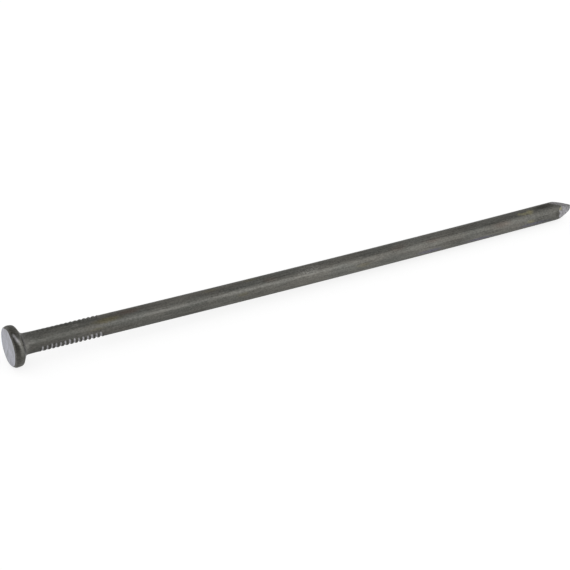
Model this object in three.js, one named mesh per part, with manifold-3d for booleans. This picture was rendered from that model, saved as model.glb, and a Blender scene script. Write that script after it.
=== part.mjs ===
// A 12 inch steel spike nail: one length of drawn wire with a flat round head, ribbed gripper
// marks below the head and a four-sided diamond point.
//
// Millimetres, +Z up. The origin is the middle of the head's flat striking face, the shank runs
// along +X and the nail lies on its side. It is built standing along +Y, the axis that a lathe
// turns about, and laid down at the end.

import * as THREE from 'three';
import { mergeVertices } from 'three/addons/utils/BufferGeometryUtils.js';
import Module from 'manifold-3d';

// Driving dimensions
const LENGTH = 304.8; // 12 inches, striking face to tip
const SHANK_RADIUS = 9.525 / 2; // 3/8 inch wire
const HEAD_RADIUS = 9.6; // at the fullest part of the rim

// Head: a barrelled rim between a small front edge and a rounded back corner, then a cone and a
// fillet down to the shank
const FACE_EDGE_RADIUS = 0.45;
const RIM_BULGE = 0.12; // how far the rim swells past its two ends
const RIM_LENGTH = 2.95;
const BACK_CORNER_RADIUS = 1.8;
const CONE_SLOPE = THREE.MathUtils.degToRad(62); // of the cone's normal, from straight out
const NECK_FILLET_RADIUS = 2.15;

// Point: four facets, rounded lengthwise, that meet at a blunt tip
const POINT_SIDES = 4;
const POINT_LENGTH = 14;
const POINT_FULLNESS = 0.62; // 1 is a straight taper, less is a rounder one
const POINT_ROLL = THREE.MathUtils.degToRad(27.4); // of the facets about the shank, from the dies
const TIP_BLUNTNESS = 0.75; // radius of the flattened end
const CUTTER_SIZE = 20; // well past the shank on every side

// Gripper marks: two rows of V grooves, each cut by half of a ribbed die
const MARK_COUNT = 14;
const MARK_PITCH = 2.15;
const FIRST_MARK = 14.6; // from the striking face
const UPPER_DEPTHS = [0.1, 0.34]; // first and last: the dies bite deeper away from the head
const LOWER_DEPTHS = [0.26, 0.38];
const MARK_WIDTH_PER_DEPTH = 2.4;
const UPPER_ROW_SHIFT = -0.55; // the two dies don't line up
const DIE_ROLL = THREE.MathUtils.degToRad(-31); // of the two rows about the nail's axis

// Fineness of the round surfaces
const ROUND_SEGMENTS = 40;
const ARC_DIVISIONS = 2;
const POINT_DIVISIONS = 7;

const QUARTER_TURN = Math.PI / 2;

const wasm = await Module();
wasm.setup();

// A closed geometry as a solid that can be cut. Triangles that shrink to nothing at a lathe's
// poles are left out.
function toSolid(geometry) {
  const plain = geometry.clone();
  plain.deleteAttribute('normal');
  plain.deleteAttribute('uv');
  const merged = mergeVertices(plain);
  const index = merged.getIndex();
  const triangles = [];
  for (let i = 0; i < index.count; i += 3) {
    const [a, b, c] = [index.getX(i), index.getX(i + 1), index.getX(i + 2)];
    if (a !== b && b !== c && c !== a) {
      triangles.push(a, b, c);
    }
  }
  return new wasm.Manifold(
    new wasm.Mesh({
      numProp: 3,
      vertProperties: new Float32Array(merged.getAttribute('position').array),
      triVerts: new Uint32Array(triangles),
    }),
  );
}

function toGeometry(solid) {
  const mesh = solid.getMesh();
  const geometry = new THREE.BufferGeometry();
  geometry.setAttribute('position', new THREE.BufferAttribute(mesh.vertProperties, 3));
  geometry.setIndex(new THREE.BufferAttribute(mesh.triVerts, 1));
  geometry.computeVertexNormals();
  return geometry;
}

// The headed wire, with a plain cut end for the point to be pinched from. Its outline is drawn as
// radius across and distance from the striking face up.
function headedWire() {
  const rimEndRadius = HEAD_RADIUS - RIM_BULGE;
  const halfRim = RIM_LENGTH / 2;
  const rimMiddle = FACE_EDGE_RADIUS + halfRim;
  const rimRadius = (halfRim ** 2 + RIM_BULGE ** 2) / (2 * RIM_BULGE);
  const rimAngle = Math.asin(halfRim / rimRadius);

  const cornerX = rimEndRadius - BACK_CORNER_RADIUS * Math.cos(rimAngle);
  const cornerY = rimMiddle + halfRim - BACK_CORNER_RADIUS * Math.sin(rimAngle);
  const coneX = cornerX + BACK_CORNER_RADIUS * Math.cos(CONE_SLOPE);
  const coneY = cornerY + BACK_CORNER_RADIUS * Math.sin(CONE_SLOPE);

  const neckX = SHANK_RADIUS + NECK_FILLET_RADIUS;
  const neckStartX = neckX - NECK_FILLET_RADIUS * Math.cos(CONE_SLOPE);
  const neckStartY = coneY + (coneX - neckStartX) / Math.tan(CONE_SLOPE);
  const neckY = neckStartY + NECK_FILLET_RADIUS * Math.sin(CONE_SLOPE);

  const outline = new THREE.Path();
  outline.moveTo(0, 0);
  outline.lineTo(rimEndRadius - FACE_EDGE_RADIUS, 0);
  outline.absarc(rimEndRadius - FACE_EDGE_RADIUS, FACE_EDGE_RADIUS, FACE_EDGE_RADIUS, -QUARTER_TURN, 0);
  outline.absarc(HEAD_RADIUS - rimRadius, rimMiddle, rimRadius, -rimAngle, rimAngle);
  outline.absarc(cornerX, cornerY, BACK_CORNER_RADIUS, rimAngle, CONE_SLOPE);
  outline.absarc(neckX, neckY, NECK_FILLET_RADIUS, CONE_SLOPE - Math.PI, -Math.PI, true);
  outline.lineTo(SHANK_RADIUS, LENGTH);
  outline.lineTo(0, LENGTH);
  return toSolid(new THREE.LatheGeometry(outline.getPoints(ARC_DIVISIONS), ROUND_SEGMENTS));
}

// How far the middle of a facet is from the nail's axis
function facetReach(fromTip) {
  const tapered = SHANK_RADIUS * (fromTip / POINT_LENGTH) ** POINT_FULLNESS;
  const blunt = TIP_BLUNTNESS * Math.sqrt(Math.min(fromTip / TIP_BLUNTNESS, 1));
  return Math.max(tapered, blunt);
}

// The pinch cutters: a square ring whose hole is the diamond point. The outline is drawn on the
// facets' middle lines, with its steps closer together towards the tip, then widened to the
// corners of the square.
function pinchCutter() {
  const outline = [new THREE.Vector2(CUTTER_SIZE, LENGTH - POINT_LENGTH)];
  for (let i = POINT_DIVISIONS; i >= 0; i -= 1) {
    const fromTip = POINT_LENGTH * (i / POINT_DIVISIONS) ** 2;
    outline.push(new THREE.Vector2(facetReach(fromTip), LENGTH - fromTip));
  }
  outline.push(new THREE.Vector2(0, LENGTH + CUTTER_SIZE));
  outline.push(new THREE.Vector2(CUTTER_SIZE, LENGTH + CUTTER_SIZE));
  outline.push(outline[0].clone());
  const toCorner = 1 / Math.cos(Math.PI / POINT_SIDES);
  const corners = outline.map((p) => new THREE.Vector2(p.x * toCorner, p.y)).reverse();
  const firstCorner = POINT_ROLL + Math.PI / POINT_SIDES;
  return toSolid(new THREE.LatheGeometry(corners, POINT_SIDES, firstCorner));
}

// One V groove on one side of the shank: a ring a little wider than the shank, pushed sideways
// until it bites that deep. The bite fades out some 60 degrees to each side.
function gripperMark(side, distance, depth) {
  const innerRadius = SHANK_RADIUS + depth;
  const outerRadius = innerRadius + 2 * depth;
  const halfWidth = MARK_WIDTH_PER_DEPTH * depth;
  const outline = [
    new THREE.Vector2(innerRadius, 0),
    new THREE.Vector2(outerRadius, -halfWidth),
    new THREE.Vector2(outerRadius, halfWidth),
    new THREE.Vector2(innerRadius, 0),
  ];
  const ring = new THREE.LatheGeometry(outline, ROUND_SEGMENTS);
  ring.translate(0, distance, -side * 2 * depth);
  return toSolid(ring);
}

function cutGripperMarks(wire) {
  let marked = wire;
  for (let i = 0; i < MARK_COUNT; i += 1) {
    const along = i / (MARK_COUNT - 1);
    const upperDepth = THREE.MathUtils.lerp(...UPPER_DEPTHS, along);
    const lowerDepth = THREE.MathUtils.lerp(...LOWER_DEPTHS, along);
    const distance = FIRST_MARK + i * MARK_PITCH;
    marked = marked.subtract(gripperMark(1, distance + UPPER_ROW_SHIFT, upperDepth));
    marked = marked.subtract(gripperMark(-1, distance, lowerDepth));
  }
  return marked;
}

const brightSteel = new THREE.MeshStandardMaterial({
  name: 'bright_steel',
  color: 0x696863,
  roughness: 0.45,
  metalness: 1.0,
});

function makeNail() {
  const solid = cutGripperMarks(headedWire()).subtract(pinchCutter());
  const geometry = toGeometry(solid);
  geometry.rotateZ(-QUARTER_TURN);
  const nail = new THREE.Mesh(geometry, brightSteel);
  nail.name = 'nail';
  nail.rotation.x = DIE_ROLL;
  return nail;
}

const object = new THREE.Group();
object.name = 'spike_nail';
object.add(makeNail());

export default object;
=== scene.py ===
"""The looks of a 12 inch steel spike nail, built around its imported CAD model.

The nail is one piece of drawn wire, so one finely made mesh stands for the CAD node: a cold-headed
head, a shank with gripper marks, and a pinched point. Its surface is worked out in millimetres, in
the gripper dies' own axes, and then turned into the frame's.

A place on the surface is given by s, its distance from the struck face, and by its angle about the
nail. Angles start at the middle of the upper gripper die, and the seam between the two dies is at
90 degrees, on the side that faces -Y.
"""
import math

import bpy
import numpy as np
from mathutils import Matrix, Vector


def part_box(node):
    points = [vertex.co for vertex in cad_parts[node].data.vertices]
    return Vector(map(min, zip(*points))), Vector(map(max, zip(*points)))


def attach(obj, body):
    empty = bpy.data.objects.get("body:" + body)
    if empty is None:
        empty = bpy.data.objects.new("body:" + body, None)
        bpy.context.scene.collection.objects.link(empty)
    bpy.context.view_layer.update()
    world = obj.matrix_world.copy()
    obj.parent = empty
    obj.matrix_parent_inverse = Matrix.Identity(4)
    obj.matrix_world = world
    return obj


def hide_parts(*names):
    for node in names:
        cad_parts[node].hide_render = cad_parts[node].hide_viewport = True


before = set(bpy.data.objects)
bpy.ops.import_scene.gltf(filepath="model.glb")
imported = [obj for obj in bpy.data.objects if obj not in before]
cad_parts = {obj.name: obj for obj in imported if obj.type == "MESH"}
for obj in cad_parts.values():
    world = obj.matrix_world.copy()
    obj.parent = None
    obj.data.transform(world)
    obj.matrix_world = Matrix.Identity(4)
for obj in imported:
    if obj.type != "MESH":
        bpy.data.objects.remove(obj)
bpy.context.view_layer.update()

MM = 0.001
LOWEST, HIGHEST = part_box("nail")

# ---- Driving dimensions, in millimetres. A fade is a pair of distances or of angles. A band is
# four: where it starts, where it is full, where it begins to fade and where it ends ----
LENGTH = (HIGHEST.x - LOWEST.x) / MM
OVERSIZE = 0.08            # the wire is drawn this much over its nominal radius
SHANK_RADIUS = 9.525 / 2 + OVERSIZE

# The head's outline
HEAD_RADIUS = 9.6
FACE_EDGE_RADIUS = 0.45
RIM_BULGE = 0.12
RIM_LENGTH = 2.95
BACK_CORNER_RADIUS = 1.8
CONE_SLOPE = math.radians(62)
NECK_FILLET_RADIUS = 2.15
NECK_SWELL = 0.09          # the neck is this much fuller than the wire
NECK_SWELL_FADE = (8.0, 12.0)
NECK_RADIUS = 1.4 * SHANK_RADIUS  # the neck is what is thinner than this

# How the head is off true
BACK_SKEW = 0.25           # the back of the head leans this much
BACK_SKEW_BAND = (0.6, 3.5, 5.5, 9.5)
FACE_WOBBLE = 0.3          # the face isn't quite round
FACE_WOBBLE_ANGLE = math.radians(110)
EDGE_WEAR = 0.17           # off the face's edge, most of all on the lower die's side
EDGE_WEAR_FADE = (0.1, 1.6)
EDGE_WEAR_RADII = (2.0, HEAD_RADIUS - 1)
FACE_NICKS = (             # each: angle and half width in degrees, depth
    (14, 14, 0.40),
    (62, 11, 0.35),
    (200, 16, 0.25),
    (300, 9, 0.15),
)

# How the wire is off true
HEAD_OFFSET = 0.12         # the wire sits this far below the head's middle
HEAD_OFFSET_FADE = (3.5, 8.0)
BOW = 0.97                 # and is this far from straight at mid length

# Metal squeezed between the dies where they meet, in the neck
SEAM_WEB_START = 4.0
SEAM_WEB_FULL = 5.0
SEAM_WEB_HEIGHT = 3.5
SEAM_WEB_LENGTH = 6.0
SEAM_WEB_HOLLOW = 1.35     # 1 is a straight slope, more is a hollow one
SEAM_WEB_SPREAD = math.radians(52)
SEAM_WEB_SOFTNESS = 0.9    # how rounded the corner is between it and the head

# A fold that runs slantwise over the rim: (degrees about the nail, millimetres)
FOLD_PATH = ((62, 1.5), (86, 2.8), (110, 4.3), (120, 4.6))
FOLD_WIDTHS = ((60, 0.5), (84, 0.7), (110, 0.8))
FOLD_BAND = (54, 64, 104, 125)
FOLD_WEAKENS = (80, 102)   # by this much, between these degrees
FOLD_WEAKENING = 0.75
FOLD_HEIGHT = 0.09
FOLD_INNER_RADIUS = 0.8 * HEAD_RADIUS

# Gripper marks
DIE_ROLL = math.radians(-31)
MARK_COUNT = 14
MARK_PITCH = 2.15
FIRST_MARK = 14.6
UPPER_ROW_SHIFT = -0.55    # the two dies don't line up
UPPER_DEPTHS = (0.03, 0.30)  # first and last mark
LOWER_DEPTHS = (0.26, 0.38)
LOWER_LEANS = (0.3, 1.0)   # of the lower die's ribs off square, first and last
MARK_SCATTER = 0.08        # of a mark's place and lean, either way
DEPTH_SCATTER = (0.9, 1.1)
REACH_SCATTER = (0.94, 1.05)
MARK_REACH = math.radians(60)
MARK_HOLLOW = 0.6          # 1 fades evenly to the mark's ends, less keeps its depth longer
MARK_WIDTH_PER_DEPTH = 1.25
MARK_LEAST_HALF_WIDTH = 0.12
MARK_SIDES = (1.0, 0.15)   # top and bottom of a mark's sides, of its half width
UPPER_LIP = 0.6            # of the mark's depth
LOWER_LIP = 0.3
LIP_PLACE = 0.9            # from the middle of the mark
LIP_WIDTH = 0.3
SCRATCH_REACH = math.radians(82)  # each mark runs out into a scratch
SCRATCH_DEPTH = 0.02
SCRATCH_SIDES = (0.45, 0.1)

# Point
POINT_ROLL = math.radians(27.4)   # of the facets about the shank, from the dies
POINT_LENGTH = 14.0
POINT_MARGIN = 2.0         # the pinch is felt this far up the shank
POINT_FULLNESS = 0.62      # 1 is a straight taper, less is a rounder one
POINT_SQUARENESS = 7.2     # 2 is round, more is squarer
POINT_START_ROUNDING = 0.15
TIP_BLUNTNESS = 0.75       # radius of the flattened end
TIP_RISE = 0.55            # how far off the wire's middle the tip is
TIP_RISE_LENGTH = 3.0
HIGH_FACET_EDGE = 0.3      # radians over which the high facet gives way to its neighbours
LOW_CUT_START = 10.3       # where each facet was cut bright, from the tip
HIGH_CUT_START = 13.8
CUT_EDGE_SOFTNESS = 0.5
CUT_EDGE_WAVES = ((5, 0.25, 0), (11, 0.15, 1))  # each: waves about the nail, height, phase
SQUEEZE_DEPTHS = (0.16, 0.35)     # the steel is squeezed where it gives way this much

# Lines left by the drawing die
DRAW_LINE_COUNT = 34
DRAW_LINE_WIDTHS = (0.02, 0.06)   # radians about the nail
DRAW_LINE_HEIGHTS = (-0.018, 0.012)
DRAW_LINE_LENGTHS = (30, 160)
DRAW_LINE_START_FADE = 6
DRAW_LINE_END_FADE = 9
DRAW_LINES_FADE = (9.0, 14.0)     # where the wire begins past the neck

# ---- Where the steel is bare, worn or dark, and where highlights and shade are painted on it ----
RIM_RADII = (0.85, 0.95)   # of the head's radius
FACE_TILTS = (-1.0, -1.35)  # radians, of the outward normal
# painted highlight along the fold over the rim, laid on as bare metal
FOLD_PAINTED_HIGHLIGHT = 0.7
FOLD_HIGHLIGHT_ANGLES = (1.6, 1.25)    # radians
# Painted light, each: a band along the nail, its middle in degrees, its spread in radians, amount
# painted light, laid on as bare metal, over the shade in the crease behind the head's back corner
CORNER_PAINTED_LIGHT = ((4.4, 5.0, 5.4, 6.2), 98, 0.7, 0.3)
# painted highlight on the neck
NECK_PAINTED_HIGHLIGHT = ((3.8, 5.5, 8.0, 11.5), 92, 0.55, 0.42)
# painted light over the shade in the neck's crease
CREASE_PAINTED_LIGHT = ((4.5, 5.2, 7.5, 9.5), 98, 0.7, 0.75)
# a painted highlight line along the seam side of the shank
SEAM_PAINTED_HIGHLIGHT = ((38, 62, 140, 185), 90, 0.09, 0.3)

# A mark's depths are given here beside its deepest, and its sides in millimetres from its middle
# painted shade in the bottom of the upper die's marks
UPPER_MARK_PAINTED_SHADE = 0.5
UPPER_SHADE_DEPTHS = (0.3, 0.8)
UPPER_SHADE_SIDES = (0.6, 0.2)
LOWER_MARK_BARE = (0.75, 1.0)     # least and most
BARE_DEPTHS = (0.1, 0.4)
BARE_CORE = 0.18
BARE_HALF_WIDTH = 0.46     # of the scraped metal in the first of the lower marks
BARE_WIDENING = 0.3        # and how much wider it is in the last
SCRATCH_PAINTED_SHADE = 0.55        # painted shade beyond the marks' ends
SCRATCH_SHADE_DEPTHS = (0.2, 0.0)
FIRST_SCRATCH = 0.3        # how much of it there is at the first mark
LAND_DARK = 0.6            # between the marks
LAND_DEPTHS = (0.1, 0.5)
LAND_SIDES = (0.5, 0.9)
LAND_HALF_WIDTH = 0.6 * MARK_PITCH

HIGH_FACET_BARE = 0.7      # beside 1 on the other facets
UNCUT_DARK = 0.28          # where a facet was squeezed but not cut

RIM_PAINTED_SHADE = 0.95            # painted shade between the rim's front edge and the fold
RIM_SHADE_START = (0.4, 0.9)
RIM_SHADE_END = (1.2, 2.6)
RIM_SHADE_SLANT = 0.9
RIM_SHADE_MIDDLE = math.radians(92)
RIM_SHADE_SPREAD = 0.75     # radians
RIM_SHADE_ALL_ROUND = 0.25

LOWER_SIDE_PAINTED_SHADE = 0.24           # painted shade on the wire's lower side, below the highlight
LOWER_SHADE_BAND = (5.5, 8.0, 100, 200)
LOWER_SHADE_ANGLES = (1.66, 1.80, 3.4, 4.5)  # radians
LOWER_SHADE_BY_HEAD = 0.5         # half as dark again by the head
LOWER_SHADE_BY_HEAD_FADE = (14, 40)

# ---- Fineness: counts, and steps in millimetres ----
AROUND = 160
FACE_RINGS = 14
ARC_STEPS = 8
NECK_STEP = 0.5
MARK_STEP = 0.14
SHANK_STEP = 3.0
POINT_STEP = 0.18
TIP_START = 0.8
TIP_RINGS = 10
SHARP_ANGLE = math.radians(40)

random_state = np.random.RandomState(7)


def smooth_step(low, high, x):
    t = np.clip((x - low) / (high - low), 0, 1)
    return t * t * (3 - 2 * t)


def band(start, full, fade, end, x):
    """Rises from 0 to 1 between start and full, and falls back between fade and end."""
    return smooth_step(start, full, x) * smooth_step(end, fade, x)


# ---- The outline: distance from the face, radius, and the slope of the outward normal ----
def arc_rings(centre, radius, start, end, steps, hollow=False):
    """Rings along an arc. An angle is the outward normal's, 0 straight out, 90 degrees to the point."""
    side = -1 if hollow else 1
    angles = np.linspace(start, end, steps + 1)
    return [(centre[0] + side * radius * math.sin(a), centre[1] + side * radius * math.cos(a), a)
            for a in angles]


def straight_rings(start, end, step, radius):
    count = max(1, round((end - start) / step))
    return [(s, radius, 0.0) for s in np.linspace(start, end, count + 1)]


def head_rings():
    rim_end_radius = HEAD_RADIUS - RIM_BULGE
    half_rim = RIM_LENGTH / 2
    rim_middle = FACE_EDGE_RADIUS + half_rim
    rim_radius = (half_rim ** 2 + RIM_BULGE ** 2) / (2 * RIM_BULGE)
    rim_angle = math.asin(half_rim / rim_radius)
    face_radius = rim_end_radius - FACE_EDGE_RADIUS
    corner = (rim_middle + half_rim - BACK_CORNER_RADIUS * math.sin(rim_angle),
              rim_end_radius - BACK_CORNER_RADIUS * math.cos(rim_angle))
    cone_start = (corner[0] + BACK_CORNER_RADIUS * math.sin(CONE_SLOPE),
                  corner[1] + BACK_CORNER_RADIUS * math.cos(CONE_SLOPE))
    fillet_start_r = SHANK_RADIUS + NECK_FILLET_RADIUS * (1 - math.cos(CONE_SLOPE))
    fillet_start_s = cone_start[0] + (cone_start[1] - fillet_start_r) / math.tan(CONE_SLOPE)
    fillet = (fillet_start_s + NECK_FILLET_RADIUS * math.sin(CONE_SLOPE),
              SHANK_RADIUS + NECK_FILLET_RADIUS)

    face = [(0.0, r, -math.pi / 2) for r in np.linspace(0, face_radius, FACE_RINGS + 1)[1:-1]]
    edge = arc_rings((FACE_EDGE_RADIUS, face_radius), FACE_EDGE_RADIUS, -math.pi / 2, 0, ARC_STEPS)
    rim = arc_rings((rim_middle, HEAD_RADIUS - rim_radius), rim_radius, -rim_angle, rim_angle,
                    2 * ARC_STEPS)
    back = arc_rings(corner, BACK_CORNER_RADIUS, rim_angle, CONE_SLOPE, ARC_STEPS)
    cone = [(s, cone_start[1] + (cone_start[0] - s) * math.tan(CONE_SLOPE), CONE_SLOPE)
            for s in np.linspace(cone_start[0], fillet_start_s, ARC_STEPS + 1)]
    neck = arc_rings(fillet, NECK_FILLET_RADIUS, CONE_SLOPE, 0, 2 * ARC_STEPS, hollow=True)
    return face + edge + rim[1:] + back[1:] + cone[1:] + neck[1:]


def outline():
    rings = head_rings()
    marks_start = FIRST_MARK + UPPER_ROW_SHIFT - MARK_PITCH
    marks_end = FIRST_MARK + MARK_COUNT * MARK_PITCH
    point_start = LENGTH - POINT_LENGTH - POINT_MARGIN
    stretches = (
        (rings[-1][0], marks_start, NECK_STEP),
        (marks_start, marks_end, MARK_STEP),
        (marks_end, point_start, SHANK_STEP),
        (point_start, LENGTH - TIP_START, POINT_STEP),
    )
    for start, end, step in stretches:
        rings = rings + straight_rings(start, end, step, SHANK_RADIUS)[1:]
    tip = [(LENGTH - TIP_START * (1 - t) ** 2, SHANK_RADIUS, 0.0)
           for t in np.linspace(0, 1, TIP_RINGS + 1)[1:-1]]
    return np.array(rings + tip)


# ---- Features ----
def angle_between(angle, middle):
    return np.arccos(np.clip(np.cos(angle - middle), -1, 1))


def near_angle(angle, middle, spread):
    """1 at the middle, fading to both sides."""
    return np.exp(-(angle_between(angle, middle) / spread) ** 2)


def shape_head(s, angle, r):
    """Takes the head off true: a leaning back, an uneven face and a worn front edge."""
    s = s - band(*BACK_SKEW_BAND, s) * BACK_SKEW * np.cos(angle)
    lost = FACE_WOBBLE * (1 - np.cos(2 * (angle - FACE_WOBBLE_ANGLE))) / 2
    lost = lost + EDGE_WEAR * (1 - np.cos(angle)) / 2
    for middle, half_width, depth in FACE_NICKS:
        lost = lost + depth * near_angle(angle, math.radians(middle), math.radians(half_width))
    front = (1 - smooth_step(*EDGE_WEAR_FADE, s)) * smooth_step(*EDGE_WEAR_RADII, r)
    return s, r - front * lost


def seam_web(s, angle, r):
    """Fills the neck's corner on both sides, where the two dies met."""
    past_head = np.clip(1 - (s - SEAM_WEB_START) / SEAM_WEB_LENGTH, 0, 1)
    for middle in (math.pi / 2, -math.pi / 2):
        spread = near_angle(angle, middle, SEAM_WEB_SPREAD)
        above = SHANK_RADIUS + SEAM_WEB_HEIGHT * past_head ** SEAM_WEB_HOLLOW * spread - r
        softness = SEAM_WEB_SOFTNESS * past_head * spread
        rise = (above + np.sqrt(above ** 2 + softness ** 2)) / 2
        r = r + rise * smooth_step(SEAM_WEB_START, SEAM_WEB_FULL, s)
    return r


def fold_line(s, angle):
    """How near a point is to the fold over the rim, 0 to 1."""
    degrees = np.degrees(np.mod(angle, 2 * math.pi))
    middle = np.interp(degrees, *zip(*FOLD_PATH))
    width = np.interp(degrees, *zip(*FOLD_WIDTHS))
    strength = band(*FOLD_BAND, degrees)
    strength = strength * (1 - FOLD_WEAKENING * smooth_step(*FOLD_WEAKENS, degrees))
    return strength * np.exp(-((s - middle) / width) ** 2)


def upper_mark_paint(along, rounded, offset, scratch):
    """The upper die's marks only get painted shade, at their bottom."""
    dark = smooth_step(*UPPER_SHADE_DEPTHS, rounded) * smooth_step(*UPPER_SHADE_SIDES, offset)
    return 0.0, UPPER_MARK_PAINTED_SHADE * dark


def lower_mark_paint(along, rounded, offset, scratch):
    """The lower die's marks are scraped bare, with dark metal between them and painted shade beyond
    their ends.
    """
    half_width = BARE_HALF_WIDTH + BARE_WIDENING * along ** 2
    bare = smooth_step(*BARE_DEPTHS, rounded) * smooth_step(half_width, BARE_CORE, offset)
    # painted shade where each mark runs out
    beyond = SCRATCH_PAINTED_SHADE * scratch * smooth_step(*SCRATCH_SHADE_DEPTHS, rounded)
    beyond = beyond * (FIRST_SCRATCH + (1 - FIRST_SCRATCH) * along)
    land = LAND_DARK * smooth_step(*LAND_DEPTHS, rounded) * smooth_step(*LAND_SIDES, offset)
    land = land * (offset < LAND_HALF_WIDTH)
    return bare * random_state.uniform(*LOWER_MARK_BARE), np.maximum(beyond, land)


# Each: the angle of its middle, its marks' shift, depths, leans and lips, and how they are painted
DIES = (
    (0.0, UPPER_ROW_SHIFT, UPPER_DEPTHS, (0, 0), UPPER_LIP, upper_mark_paint),
    (math.pi, 0.0, LOWER_DEPTHS, LOWER_LEANS, LOWER_LIP, lower_mark_paint),
)


def gripper_marks(s, angle):
    """How far the dies press the surface in (negative) or squeeze it up, how bare and how dark."""
    change = np.zeros_like(angle)
    bare = np.zeros_like(angle)
    dark = np.zeros_like(angle)
    for middle, shift, depths, leans, lip_height, paint in DIES:
        away = angle_between(angle, middle)
        for i in range(MARK_COUNT):
            along = i / (MARK_COUNT - 1)
            centre = FIRST_MARK + shift + i * MARK_PITCH
            centre = centre + random_state.uniform(-MARK_SCATTER, MARK_SCATTER)
            full = np.interp(along, (0, 1), depths) * random_state.uniform(*DEPTH_SCATTER)
            reach = MARK_REACH * random_state.uniform(*REACH_SCATTER)
            lean = np.interp(along, (0, 1), leans) + random_state.uniform(-MARK_SCATTER, MARK_SCATTER)
            offset = np.abs(s - centre - lean * np.sin(angle - middle))

            rounded = np.clip((np.cos(away) - math.cos(reach)) / (1 - math.cos(reach)), 0, 1)
            depth = full * rounded ** MARK_HOLLOW
            half_width = MARK_WIDTH_PER_DEPTH * depth + MARK_LEAST_HALF_WIDTH
            groove = depth * smooth_step(*MARK_SIDES, offset / half_width)
            lip = lip_height * depth * np.exp(-((offset - LIP_PLACE) / LIP_WIDTH) ** 2)
            scratch = smooth_step(SCRATCH_REACH, reach, away) * smooth_step(*SCRATCH_SIDES, offset)
            change = change - groove + lip - SCRATCH_DEPTH * scratch * (1 - rounded)

            mark_bare, mark_dark = paint(along, rounded, offset, scratch)
            bare = np.maximum(bare, mark_bare)
            dark = np.maximum(dark, mark_dark)
    return change, bare, dark


def draw_lines(s, angle):
    """Faint lines that the drawing die left along the wire."""
    change = np.zeros_like(angle)
    for _ in range(DRAW_LINE_COUNT):
        middle = random_state.uniform(0, 2 * math.pi)
        width = random_state.uniform(*DRAW_LINE_WIDTHS)
        height = random_state.uniform(*DRAW_LINE_HEIGHTS)
        start = random_state.uniform(0, LENGTH)
        end = start + random_state.uniform(*DRAW_LINE_LENGTHS)
        along = band(start - DRAW_LINE_START_FADE, start, end, end + DRAW_LINE_END_FADE, s)
        change = change + height * along * near_angle(angle, middle, width)
    return change * smooth_step(*DRAW_LINES_FADE, s)


def point_radius(s, angle, radius):
    """The shank's radius where the pinch cutters have left it, how bare and how dark."""
    from_tip = np.clip(LENGTH - s, 0, None)
    reach = SHANK_RADIUS * (from_tip / POINT_LENGTH) ** POINT_FULLNESS
    off = angle - POINT_ROLL
    power = POINT_SQUARENESS
    square = (np.abs(np.cos(off)) ** power + np.abs(np.sin(off)) ** power) ** (1 / power)
    blunt = TIP_BLUNTNESS * np.sqrt(np.clip(from_tip / TIP_BLUNTNESS, 0, 1))
    cut = np.maximum(reach / square, blunt)
    pinched = (radius + cut - np.sqrt((radius - cut) ** 2 + POINT_START_ROUNDING ** 2)) / 2
    pinched = np.where(from_tip < POINT_LENGTH + POINT_MARGIN, np.minimum(radius, pinched), radius)

    past_facet = angle_between(angle, POINT_ROLL) - math.pi / 4
    high_facet = smooth_step(HIGH_FACET_EDGE, 0, past_facet)
    start = LOW_CUT_START + (HIGH_CUT_START - LOW_CUT_START) * high_facet
    for waves, height, phase in CUT_EDGE_WAVES:
        start = start + height * np.sin(waves * angle + phase)
    squeezed = smooth_step(*SQUEEZE_DEPTHS, radius - pinched)
    bare = squeezed * smooth_step(0, CUT_EDGE_SOFTNESS, start - from_tip)
    return pinched, bare * (1 - (1 - HIGH_FACET_BARE) * high_facet), UNCUT_DARK * (squeezed - bare)


def bend(s, angle, r):
    """Where a point of the round nail comes to, with the wire off the head's middle and bowed."""
    along = s / LENGTH
    drop = smooth_step(*HEAD_OFFSET_FADE, s) * HEAD_OFFSET * (1 - along) + 4 * BOW * along * (1 - along)
    near_tip = np.clip(1 - (LENGTH - s) / TIP_RISE_LENGTH, 0, 1) ** 2
    return r * np.cos(angle) - drop + TIP_RISE * near_tip, r * np.sin(angle)


def turned(s, up, side):
    """From the dies' axes to the frame's: up is +Z turned by the roll, and the seam's side faces -Y."""
    roll_sin, roll_cos = math.sin(DIE_ROLL), math.cos(DIE_ROLL)
    return s, -up * roll_sin - side * roll_cos, up * roll_cos - side * roll_sin


def surface_point(s, angle):
    """A place on the shank or on its pinched end, in the frame's axes."""
    r = float(point_radius(np.array([s]), np.array([angle]), np.array([SHANK_RADIUS]))[0][0])
    up, side = bend(s, angle, r)
    return turned(s, float(up), float(side))


def painted_band(s, angle, along, middle, spread, amount):
    """Paint on a stretch of the nail, about one line along it."""
    return amount * band(*along, s) * near_angle(angle, math.radians(middle), spread)


def rim_painted_shade(s, angle):
    """Painted shade between the rim's front edge and the fold, 0 to 1."""
    behind_edge = smooth_step(*RIM_SHADE_START, s)
    before_fold = 1 - smooth_step(*RIM_SHADE_END, s - RIM_SHADE_SLANT * np.sin(angle))
    near_seam = near_angle(angle, RIM_SHADE_MIDDLE, RIM_SHADE_SPREAD)
    return behind_edge * before_fold * (RIM_SHADE_ALL_ROUND + (1 - RIM_SHADE_ALL_ROUND) * near_seam)


def lower_side_shade(s, angle):
    """Painted shade on the lower side, 1 along it and more by the head."""
    lower_shade = band(*LOWER_SHADE_BAND, s) * band(*LOWER_SHADE_ANGLES, angle)
    return lower_shade * (1 + LOWER_SHADE_BY_HEAD * (1 - smooth_step(*LOWER_SHADE_BY_HEAD_FADE, s)))


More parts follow.
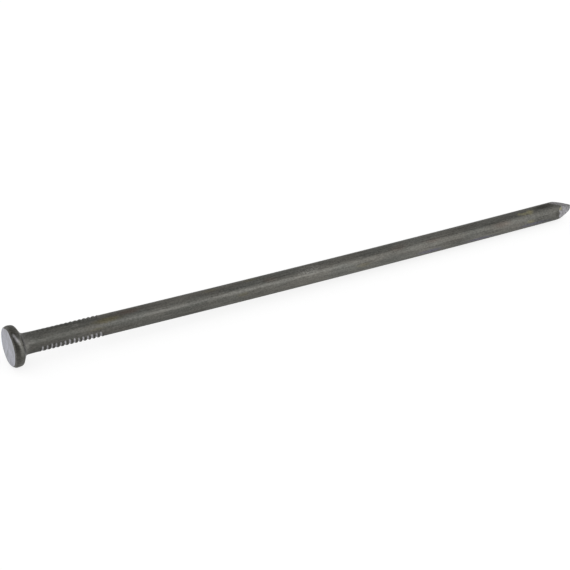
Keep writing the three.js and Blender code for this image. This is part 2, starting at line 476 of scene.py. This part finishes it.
def build_surface():
    rings = outline()
    angles = np.linspace(0, 2 * math.pi, AROUND, endpoint=False)
    s = np.repeat(rings[:, 0:1], AROUND, axis=1)
    r = np.repeat(rings[:, 1:2], AROUND, axis=1)
    tilt = np.repeat(rings[:, 2:3], AROUND, axis=1)
    a = np.repeat(angles[None, :], len(rings), axis=0)

    r = r + NECK_SWELL * (1 - smooth_step(*NECK_SWELL_FADE, s)) * (r < NECK_RADIUS)
    s, r = shape_head(s, a, r)
    r = seam_web(s, a, r)
    fold = fold_line(s, a) * (r > FOLD_INNER_RADIUS)
    marks, bare, dark = gripper_marks(s, a)
    r = r + FOLD_HEIGHT * fold + marks + draw_lines(s, a)
    r, cut, squeezed = point_radius(s, a, r)

    rim = smooth_step(*RIM_RADII, r / HEAD_RADIUS)
    # painted highlight along the fold, laid on as bare metal
    bare = np.maximum(bare, FOLD_PAINTED_HIGHLIGHT * fold * smooth_step(*FOLD_HIGHLIGHT_ANGLES, a))
    # painted light, laid on as bare metal, over the shade in the neck's crease
    bare = np.maximum(bare, (1 - rim) * painted_band(s, a, *CORNER_PAINTED_LIGHT))
    # painted highlight on the fold, the neck and the seam line, and painted light over the shade in the
    # neck's crease
    painted_light = fold
    for patch in (NECK_PAINTED_HIGHLIGHT, CREASE_PAINTED_LIGHT, SEAM_PAINTED_HIGHLIGHT):
        painted_light = np.maximum(painted_light, (1 - rim) * painted_band(s, a, *patch))
    dark = np.maximum(dark, squeezed)
    # painted shade on the rim, behind its front edge
    dark = np.maximum(dark, RIM_PAINTED_SHADE * rim * rim_painted_shade(s, a) * (1 - fold))
    # painted shade on the shank's lower side
    dark = np.maximum(dark, LOWER_SIDE_PAINTED_SHADE * lower_side_shade(s, a))
    face = smooth_step(*FACE_TILTS, tilt)
    paint = {"face": face, "cut": cut, "bare": bare, "dark": dark, "painted_light": painted_light}
    up, side = bend(s, a, r)
    return s, up, side, paint


def build_nail():
    s, up, side, paint = build_surface()
    count = s.shape[0]
    points = np.stack([axis.ravel() for axis in turned(s, up, side)], axis=1)
    face_middle = [[0.0, 0.0, 0.0]]
    tip = [[LENGTH, 0.0, 0.0]]
    points = np.concatenate([points, face_middle, tip]) * MM

    faces = []
    for i in range(count - 1):
        near, far = i * AROUND, (i + 1) * AROUND
        for j in range(AROUND):
            k = (j + 1) % AROUND
            faces.append((near + j, near + k, far + k, far + j))
    last = (count - 1) * AROUND
    for j in range(AROUND):
        k = (j + 1) % AROUND
        faces.append((count * AROUND, k, j))
        faces.append((count * AROUND + 1, last + j, last + k))

    mesh = bpy.data.meshes.new("spike_nail")
    mesh.from_pydata([tuple(p) for p in points], [], faces)
    mesh.validate()
    mesh.shade_smooth()
    mesh.set_sharp_from_angle(angle=SHARP_ANGLE)
    for name, amount in paint.items():
        layer = mesh.attributes.new(name, "FLOAT", "POINT")
        values = np.concatenate([amount.ravel(), [amount[0, 0], amount[-1, 0]]])
        layer.data.foreach_set("value", values.astype(np.float32))
    nail = bpy.data.objects.new("spike_nail", mesh)
    bpy.context.scene.collection.objects.link(nail)
    return nail


# ---- Materials ----
STEEL_WARM = (0.143, 0.138, 0.124, 1)
STEEL_COOL = (0.131, 0.131, 0.120, 1)
STEEL_DARK = (0.045, 0.044, 0.038, 1)
# pale steel, for the rubbed flecks and for the painted highlights
STEEL_WEAR_AND_HIGHLIGHT = (0.260, 0.255, 0.240, 1)
STEEL_CUT = (0.490, 0.482, 0.508, 1)
STEEL_SCORED = (0.165, 0.162, 0.160, 1)
STEEL_FACE = (0.580, 0.588, 0.655, 1)
STEEL_FACE_DULL = (0.370, 0.375, 0.396, 1)
STEEL_FACE_SPOT = (0.290, 0.296, 0.290, 1)
OLIVE = (0.157, 0.141, 0.088, 1)
BROWN = (0.135, 0.108, 0.092, 1)
STRAW = (0.300, 0.282, 0.180, 1)
# painted bluish reflection of the floor, for the lower side
BLUISH_REFLECTION = (0.128, 0.126, 0.158, 1)
YELLOWED_CUT = (0.360, 0.345, 0.200, 1)

# Each pattern in the steel: its scale along the wire beside 1 across, then scale, detail, roughness
GRAIN = (0.7, 1.5, 3, 0.65)
STREAKS = (0.05, 1.6, 4, 0.6)
BLOTCHES = (0.25, 0.16, 3, 0.6)
FLECKS = (0.45, 2.6, 2, 0.7)

# How much darker or lighter each pattern makes the steel
GRAIN_SHADES = (0.79, 1.21)
STREAK_SHADES = (-0.18, 0.18)
BLOTCH_SHADES = (-0.12, 0.12)
# Each: the shades at both ends, and between which distances from the face it changes
HEAD_SHADE = (1.12, 1.0, 3.5, 5.5)
HELD_END_SHADE = (0.82, 1.0, 20, 140)
POINT_END_SHADE = (1.0, 0.94, 190, 250)
STRAY_RUB = 0.35           # how worn the flecks outside the rubbed patches are
FACE_SPOTS = 0.5           # how strong the grey spots on the struck face are

ROUGHNESS = (0.30, 0.42)
BLOTCH_ROUGHNESS = (-0.05, 0.06)
DARK_ROUGHNESS = 0.15
CUT_ROUGHNESS = 0.14
EDGE_TINT = (0.6, 0.6, 0.6, 1)    # how bright the steel stays at a grazing angle

# Each relief: its height in millimetres and its strength
STREAK_RELIEF = (0.12, 0.6)
GRAIN_RELIEF = (0.10, 0.6)
PIT_RELIEF = (0.06, 0.7)
SCORE_RELIEF = (0.20, 0.6)
BRUSH_RELIEF = (0.12, 0.5)

# Each stain: distance from the face, angle about the nail in degrees, half its length, half its
# width, colour, amount
STAINS = (
    (46, 66, 6.5, 1.3, OLIVE, 0.80),
    (57, 45, 5.5, 1.5, BROWN, 0.75),
    (40, 106, 4.0, 0.7, OLIVE, 0.38),
    (98, 38, 3.5, 1.1, OLIVE, 0.35),
    (119, 30, 4.0, 1.1, OLIVE, 0.40),
    (128, 65, 3.5, 1.0, BROWN, 0.45),
    (113, 110, 2.8, 0.9, OLIVE, 0.40),
    (178, 115, 4.0, 0.9, OLIVE, 0.40),
    (198, 68, 4.5, 1.6, BROWN, 0.38),
    # the bluish rows are a painted reflection of the floor along the lower side
    (216, 140, 7.0, 1.0, BLUISH_REFLECTION, 0.80),
    (218, 76, 4.0, 1.2, BROWN, 0.40),
    (246, 146, 9.0, 0.9, BLUISH_REFLECTION, 0.80),
    (259, 88, 5.0, 1.5, BROWN, 0.45),
    (271, 54, 1.5, 0.6, STRAW, 0.60),
    (273.6, 60, 2.0, 0.9, STRAW, 0.75),
    (277.2, 57, 1.9, 1.3, STRAW, 0.90),
    (276.4, 117, 2.2, 0.8, STRAW, 0.50),
    (279, 140, 9.0, 0.9, BLUISH_REFLECTION, 0.80),
    (287, 41, 6.0, 1.7, STEEL_DARK, 0.78),
    (60, 230, 9.0, 1.6, BROWN, 0.60),
    (150, 265, 8.0, 1.5, OLIVE, 0.50),
    (235, 215, 9.0, 1.8, BROWN, 0.55),
    (105, 320, 7.0, 1.2, OLIVE, 0.50),
)
# Patches where the drawn surface is rubbed off in flecks, as above
RUBBED = (
    (148, 64, 7.0, 1.6, STEEL_WEAR_AND_HIGHLIGHT, 1.0),
    (31, 54, 2.0, 0.7, STEEL_WEAR_AND_HIGHLIGHT, 0.90),
    (205, 250, 9.0, 1.8, STEEL_WEAR_AND_HIGHLIGHT, 0.80),
    (85, 200, 7.0, 1.6, STEEL_WEAR_AND_HIGHLIGHT, 0.80),
)
# Stains on the cut metal of the point, as above
POINT_STAINS = (
    (295.4, 84, 1.2, 1.1, YELLOWED_CUT, 0.90),
    (296.5, 60, 0.8, 0.5, YELLOWED_CUT, 0.60),
    (297.0, 250, 1.1, 0.8, OLIVE, 0.60),
)
STAIN_FADE = (0.3, 1.5)    # from a stain's middle, in half lengths and widths
STAIN_WANDER = 1.4         # how far a stain's edge wanders, in millimetres


class Nodes:
    """Short ways of adding nodes to one material."""

    def __init__(self, material):
        material.use_nodes = True
        self.tree = material.node_tree
        self.shader = self.tree.nodes["Principled BSDF"]

    def link(self, source, target):
        if isinstance(source, bpy.types.NodeSocket):
            self.tree.links.new(source, target)
        else:
            target.default_value = source

    def attribute(self, name):
        made = self.tree.nodes.new("ShaderNodeAttribute")
        made.attribute_name = name
        return made.outputs["Fac"]

    def math(self, operation, a, b):
        made = self.tree.nodes.new("ShaderNodeMath")
        made.operation = operation
        self.link(a, made.inputs[0])
        self.link(b, made.inputs[1])
        return made.outputs[0]

    def spread(self, value, low, high, to_low=0.0, to_high=1.0):
        """Maps low..high smoothly onto to_low..to_high."""
        made = self.tree.nodes.new("ShaderNodeMapRange")
        made.interpolation_type = "SMOOTHSTEP"
        self.link(value, made.inputs["Value"])
        made.inputs["From Min"].default_value = low
        made.inputs["From Max"].default_value = high
        made.inputs["To Min"].default_value = to_low
        made.inputs["To Max"].default_value = to_high
        return made.outputs["Result"]

    def place(self, vector, location=(0, 0, 0), rotation=(0, 0, 0), scale=(1, 1, 1), kind="POINT"):
        made = self.tree.nodes.new("ShaderNodeMapping")
        made.vector_type = kind
        self.link(vector, made.inputs["Vector"])
        made.inputs["Location"].default_value = location
        made.inputs["Rotation"].default_value = rotation
        made.inputs["Scale"].default_value = scale
        return made.outputs["Vector"]

    def noise(self, vector, scale, detail=2, roughness=0.5, colour=False):
        made = self.tree.nodes.new("ShaderNodeTexNoise")
        self.link(vector, made.inputs["Vector"])
        made.inputs["Scale"].default_value = scale
        made.inputs["Detail"].default_value = detail
        made.inputs["Roughness"].default_value = roughness
        return made.outputs["Color" if colour else "Fac"]

    def drawn_noise(self, vector, along, scale, detail, roughness):
        """Noise that is drawn out along the wire."""
        return self.noise(self.place(vector, scale=(along, 1, 1)), scale, detail, roughness)

    def cells(self, vector, scale):
        """The distance to the nearest of many scattered points."""
        made = self.tree.nodes.new("ShaderNodeTexVoronoi")
        self.link(vector, made.inputs["Vector"])
        made.inputs["Scale"].default_value = scale
        return made.outputs["Distance"]

    def along(self, vector):
        """How far along the nail vector is."""
        made = self.tree.nodes.new("ShaderNodeSeparateXYZ")
        self.link(vector, made.inputs[0])
        return made.outputs["X"]

    def length(self, vector):
        made = self.tree.nodes.new("ShaderNodeVectorMath")
        made.operation = "LENGTH"
        self.link(vector, made.inputs[0])
        return made.outputs["Value"]

    def shift(self, vector, by, amount):
        """Moves vector by a centred noise colour times amount."""
        centred = self.tree.nodes.new("ShaderNodeVectorMath")
        centred.operation = "SUBTRACT"
        self.link(by, centred.inputs[0])
        centred.inputs[1].default_value = (0.5, 0.5, 0.5)
        made = self.tree.nodes.new("ShaderNodeVectorMath")
        made.operation = "MULTIPLY_ADD"
        self.link(centred.outputs[0], made.inputs[0])
        made.inputs[1].default_value = (amount, amount, amount)
        self.link(vector, made.inputs[2])
        return made.outputs[0]

    def mix(self, factor, a, b, blend="MIX"):
        made = self.tree.nodes.new("ShaderNodeMix")
        made.data_type = "RGBA"
        made.blend_type = blend
        self.link(factor, made.inputs[0])
        self.link(a, made.inputs[6])
        self.link(b, made.inputs[7])
        return made.outputs[2]

    def grey(self, value):
        made = self.tree.nodes.new("ShaderNodeCombineColor")
        for socket in made.inputs:
            self.link(value, socket)
        return made.outputs[0]

    def stain(self, colour, vector, stains, speckle=None):
        """Lays each stain over colour, all over or only where speckle is."""
        for s, degrees, length, width, tint, amount in stains:
            centre = surface_point(s, math.radians(degrees))
            spot = self.place(vector, location=centre, scale=(length, width, width), kind="TEXTURE")
            patch = self.spread(self.length(spot), *STAIN_FADE, amount, 0.0)
            if speckle is not None:
                patch = self.math("MULTIPLY", patch, speckle)
            colour = self.mix(patch, colour, tint)
        return colour

    def bump(self, height, relief, normal=None):
        made = self.tree.nodes.new("ShaderNodeBump")
        self.link(height, made.inputs["Height"])
        made.inputs["Distance"].default_value = relief[0] * MM
        made.inputs["Strength"].default_value = relief[1]
        if normal is not None:
            self.link(normal, made.inputs["Normal"])
        return made.outputs["Normal"]


def steel_material():
    material = bpy.data.materials.new("drawn_steel")
    n = Nodes(material)
    position = n.tree.nodes.new("ShaderNodeTexCoord").outputs["Object"]
    mm = n.place(position, scale=(1 / MM, 1 / MM, 1 / MM))
    face = n.attribute("face")
    cut = n.attribute("cut")
    bare = n.attribute("bare")
    dark = n.attribute("dark")
    painted_light = n.attribute("painted_light")

    # patterns from 0 to 1 about a half. Where one is spread, the first two numbers are its own values
    grain = n.drawn_noise(mm, *GRAIN)
    streaks = n.drawn_noise(mm, *STREAKS)
    blotches = n.drawn_noise(mm, *BLOTCHES)
    flecks = n.drawn_noise(mm, *FLECKS)
    tints = n.noise(n.place(mm, location=(40, 7, 3), scale=(0.3, 1, 1)), 0.22)
    # the pinch cutters' scores run across the point, and the struck face keeps its parting lines
    scored_place = n.place(mm, rotation=(0.4, 0.5, 0.3), scale=(3.2, 0.5, 0.5))
    scored = n.noise(scored_place, 1.2, detail=3)
    brushed_place = n.place(mm, rotation=(0.5, 0, 0), scale=(1, 1.3, 0.16))
    brushed = n.noise(brushed_place, 1.1, detail=4, roughness=0.6)
    pits = n.spread(n.cells(n.place(mm, scale=(0.6, 1, 1)), 0.9), 0.0, 0.22)

    # the drawn surface, with its stains
    wandering = n.shift(mm, n.noise(mm, 0.7, detail=3, colour=True), STAIN_WANDER)
    colour = n.mix(n.spread(tints, 0.34, 0.66), STEEL_COOL, STEEL_WARM)
    colour = n.stain(colour, wandering, STAINS)
    # it is rubbed pale in flecks, most of all in a few patches
    colour = n.stain(colour, wandering, RUBBED, n.spread(flecks, 0.46, 0.60))
    rub = n.math("MULTIPLY", n.spread(flecks, 0.62, 0.75), n.spread(blotches, 0.48, 0.66))
    colour = n.mix(n.math("MULTIPLY", rub, STRAY_RUB), colour, STEEL_WEAR_AND_HIGHLIGHT)
    # painted highlight on the fold, the neck and the seam line, and painted light over the shade in the
    # neck's crease
    colour = n.mix(painted_light, colour, STEEL_WEAR_AND_HIGHLIGHT)
    # dark: painted shade on the rim, in and beyond the marks and on the lower side, with the darker
    # squeezed metal and lands
    colour = n.mix(dark, colour, STEEL_DARK)
    # bare: the lower marks' scraped metal, with a painted highlight on the fold and painted light in
    # the neck's crease
    colour = n.mix(bare, colour, STEEL_CUT)

    shade = n.spread(grain, 0.3, 0.7, *GRAIN_SHADES)
    shade = n.math("ADD", shade, n.spread(streaks, 0.3, 0.7, *STREAK_SHADES))
    shade = n.math("ADD", shade, n.spread(blotches, 0.35, 0.65, *BLOTCH_SHADES))
    for near_shade, far_shade, start, end in (HELD_END_SHADE, POINT_END_SHADE, HEAD_SHADE):
        part_shade = n.spread(n.along(mm), start, end, near_shade, far_shade)
        shade = n.math("MULTIPLY", shade, part_shade)
    colour = n.mix(1.0, colour, n.grey(shade), "MULTIPLY")

    cut_colour = n.mix(n.spread(scored, 0.38, 0.66), STEEL_SCORED, STEEL_CUT)
    cut_colour = n.stain(cut_colour, wandering, POINT_STAINS)
    colour = n.mix(cut, colour, cut_colour)
    face_colour = n.mix(n.spread(brushed, 0.36, 0.64), STEEL_FACE_DULL, STEEL_FACE)
    face_spots = n.spread(n.noise(mm, 0.55, detail=3), 0.54, 0.70, 0.0, FACE_SPOTS)
    face_colour = n.mix(face_spots, face_colour, STEEL_FACE_SPOT)
    colour = n.mix(face, colour, face_colour)
    n.link(colour, n.shader.inputs["Base Color"])

    rough = n.spread(streaks, 0.25, 0.75, *ROUGHNESS)
    rough = n.math("ADD", rough, n.spread(blotches, 0.3, 0.7, *BLOTCH_ROUGHNESS))
    rough = n.math("ADD", rough, n.math("MULTIPLY", dark, DARK_ROUGHNESS))
    rough = n.math("ADD", rough, n.math("MULTIPLY", cut, CUT_ROUGHNESS))
    n.link(rough, n.shader.inputs["Roughness"])
    n.shader.inputs["Metallic"].default_value = 1.0
    n.shader.inputs["Specular Tint"].default_value = EDGE_TINT

    normal = n.bump(streaks, STREAK_RELIEF)
    normal = n.bump(grain, GRAIN_RELIEF, normal)
    normal = n.bump(pits, PIT_RELIEF, normal)
    normal = n.bump(n.math("MULTIPLY", scored, cut), SCORE_RELIEF, normal)
    normal = n.bump(n.math("MULTIPLY", brushed, face), BRUSH_RELIEF, normal)
    n.link(normal, n.shader.inputs["Normal"])
    return material


# ---- Stage. Angles are in degrees: azimuth from straight in front, elevation from level ----
CAMERA_AZIMUTH = -27.81
CAMERA_ELEVATION = 28.67
CAMERA_DISTANCE = 776.6    # millimetres
CAMERA_TARGET = (137.9, 0, -3.8)
CAMERA_LENS = 103.0
CAMERA_SENSOR = 36.0

# Each sun: azimuth, elevation, how wide it is, strength
KEY_SUN = (34, 27, 46, 0.38)
BACK_SUN = (205, 22, 40, 0.15)
HORIZON_LIGHT = 1.0
OVERHEAD_LIGHT = 0.66
LIGHT_FADE = (0.05, 0.55)  # height on a globe of radius 1

FLOOR_HALF_SIZE = 6.0      # metres
FLOOR_GREY = (0.3, 0.3, 0.3, 1)
FLOOR_GLOW = 0.8
FLOOR_CONTACT = 16         # the nail lies on its head's rim and on its shank, this far from the tip
FLOOR_CONTACT_DROP = 0.17  # the shank is this much lower there


def direction(azimuth, elevation):
    azimuth, elevation = math.radians(azimuth), math.radians(elevation)
    return Vector((math.sin(azimuth) * math.cos(elevation),
                   -math.cos(azimuth) * math.cos(elevation),
                   math.sin(elevation)))


def add_camera():
    back = direction(CAMERA_AZIMUTH, CAMERA_ELEVATION)
    data = bpy.data.cameras.new("camera")
    data.sensor_width = CAMERA_SENSOR
    data.lens = CAMERA_LENS
    camera = bpy.data.objects.new("camera", data)
    camera.location = Vector(CAMERA_TARGET) * MM + back * CAMERA_DISTANCE * MM
    camera.rotation_euler = back.to_track_quat("Z", "Y").to_euler()
    bpy.context.scene.collection.objects.link(camera)
    bpy.context.scene.camera = camera


def add_sun(name, azimuth, elevation, width, strength):
    data = bpy.data.lights.new(name, "SUN")
    data.energy = strength
    data.angle = math.radians(width)
    light = bpy.data.objects.new(name, data)
    light.rotation_euler = direction(azimuth, elevation).to_track_quat("Z", "Y").to_euler()
    bpy.context.scene.collection.objects.link(light)


def add_floor():
    size = FLOOR_HALF_SIZE
    corners = [(-size, -size, 0), (size, -size, 0), (size, size, 0), (-size, size, 0)]
    mesh = bpy.data.meshes.new("floor")
    mesh.from_pydata(corners, [], [(0, 1, 2, 3)])
    floor = bpy.data.objects.new("floor", mesh)
    rise = HEAD_RADIUS - SHANK_RADIUS - FLOOR_CONTACT_DROP
    floor.rotation_euler = (0, -math.atan2(rise, LENGTH - FLOOR_CONTACT), 0)
    floor.location = (0, 0, -HEAD_RADIUS * MM)
    material = bpy.data.materials.new("pale_floor")
    material.use_nodes = True
    shader = material.node_tree.nodes["Principled BSDF"]
    shader.inputs["Base Color"].default_value = FLOOR_GREY
    shader.inputs["Roughness"].default_value = 0.9
    shader.inputs["Specular IOR Level"].default_value = 0.0
    shader.inputs["Emission Color"].default_value = (1, 1, 1, 1)
    shader.inputs["Emission Strength"].default_value = FLOOR_GLOW
    mesh.materials.append(material)
    bpy.context.scene.collection.objects.link(floor)


def add_world():
    """A plain white surround, brightest at the horizon and dimmer overhead."""
    world = bpy.data.worlds.new("studio")
    world.use_nodes = True
    tree = world.node_tree
    background = tree.nodes["Background"]
    outward = tree.nodes.new("ShaderNodeTexCoord").outputs["Generated"]
    height = tree.nodes.new("ShaderNodeSeparateXYZ")
    level = tree.nodes.new("ShaderNodeMapRange")
    tree.links.new(outward, height.inputs[0])
    tree.links.new(height.outputs["Z"], level.inputs["Value"])
    level.interpolation_type = "SMOOTHSTEP"
    level.inputs["From Min"].default_value = LIGHT_FADE[0]
    level.inputs["From Max"].default_value = LIGHT_FADE[1]
    level.inputs["To Min"].default_value = HORIZON_LIGHT
    level.inputs["To Max"].default_value = OVERHEAD_LIGHT
    background.inputs["Color"].default_value = (1, 1, 1, 1)
    tree.links.new(level.outputs["Result"], background.inputs["Strength"])
    bpy.context.scene.world = world


nail = build_nail()
nail.data.materials.append(steel_material())
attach(nail, "root")
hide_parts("nail")

add_camera()
add_floor()
add_world()
add_sun("key_light", *KEY_SUN)
add_sun("back_light", *BACK_SUN)
bpy.context.scene.view_settings.view_transform = "Standard"
